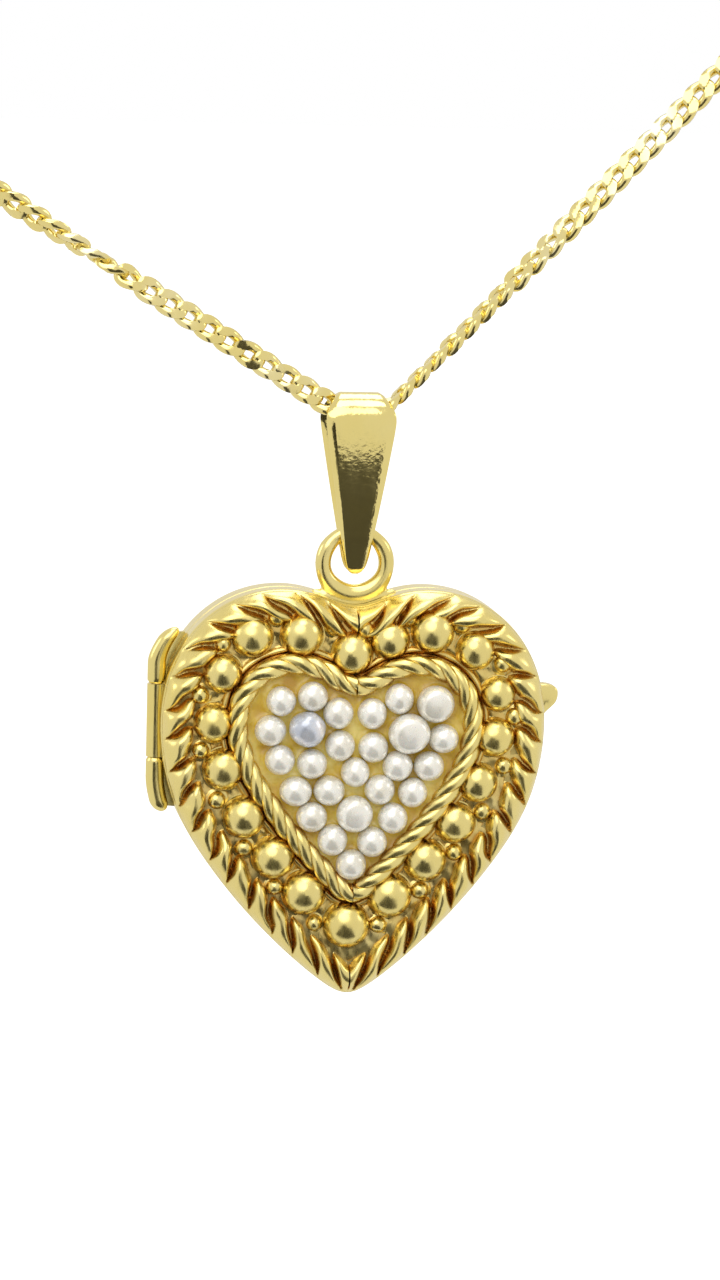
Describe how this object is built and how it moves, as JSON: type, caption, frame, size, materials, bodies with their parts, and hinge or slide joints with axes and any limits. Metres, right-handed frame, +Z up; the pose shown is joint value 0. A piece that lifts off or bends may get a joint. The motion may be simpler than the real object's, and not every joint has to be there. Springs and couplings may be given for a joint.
{
  "type": "pendant necklace",
  "caption": "Heart-shaped hinged locket with seed pearls inside a beaded border, hung by a tapered bail on a curb chain with a spring-ring clasp.",
  "frame": {"origin": "midway between the two held ends of the chain, where a wearer's neck or a display holds it", "axes": "+Z up, +X to the viewer's right, the decorated front of the locket faces -Y"},
  "size_m": [0.0524, 0.0061, 0.0554],
  "materials": {
    "polished_gold": "polished yellow gold",
    "cast_gold": "polished high spots, darker recesses",
    "chain_gold": "polished yellow gold, diamond-cut faces",
    "hinge_steel": "drawn wire",
    "amber_cement": "translucent amber cement",
    "white_pearl": "white nacre",
    "grey_pearl": "grey-blue baroque nacre",
    "clear_window": "clear plastic film"
  },
  "bodies": {
    "chain": {"chain": "chain_gold", "chain_tag": "chain_gold", "clasp_jump_ring": "chain_gold"},
    "clasp": {"clasp_body": "chain_gold", "clasp_spring": "hinge_steel"},
    "clasp_bolt": {"clasp_bolt": "chain_gold"},
    "bail": {"bail": "polished_gold"},
    "locket_back": {"back_shell": "polished_gold", "hanging_ring": "polished_gold", "thumb_tab": "polished_gold", "back_photo_frame": "polished_gold", "back_window": "clear_window", "hinge_pin": "hinge_steel", "hinge_knuckle_bottom": "polished_gold", "hinge_knuckle_top": "polished_gold"},
    "locket_cover": {"front_cover": "polished_gold", "front_photo_frame": "polished_gold", "front_window": "clear_window", "catch_tongue": "polished_gold", "hinge_knuckle_middle": "polished_gold", "leaf_border": "cast_gold", "large_beads": "polished_gold", "small_beads": "polished_gold", "rope_border": "cast_gold", "pearl_bed": "amber_cement", "small_pearls": "white_pearl", "large_pearls": "white_pearl", "grey_pearl": "grey_pearl"}
  },
  "joints": [
    {"name": "bail_swing", "type": "hinge", "parent": "chain", "child": "bail", "pos_m": [0, 0, -0.0169], "axis": [1, 0, 0], "range_deg": [-35, 35]},
    {"name": "locket_swing", "type": "hinge", "parent": "bail", "child": "locket_back", "pos_m": [0, 0, -0.02318], "axis": [1, 0, 0], "range_deg": [-50, 50]},
    {"name": "cover_open", "type": "hinge", "parent": "locket_back", "child": "locket_cover", "pos_m": [-0.0106, 0, -0.0335], "axis": [0, 0, -1], "range_deg": [0, 165]},
    {"name": "clasp_swing", "type": "hinge", "parent": "chain", "child": "clasp", "pos_m": [-0.02276, 0, -0.00335], "axis": [0, 1, 0], "range_deg": [-40, 40]},
    {"name": "clasp_bolt_pull", "type": "hinge", "parent": "clasp", "child": "clasp_bolt", "pos_m": [-0.02561, 0, -0.00157], "axis": [0, -1, 0], "range_deg": [0, 60], "stiffness_Nm_per_rad": 0.0004, "springref_deg": -17.19, "deforming": ["clasp_spring"]}
  ]
}
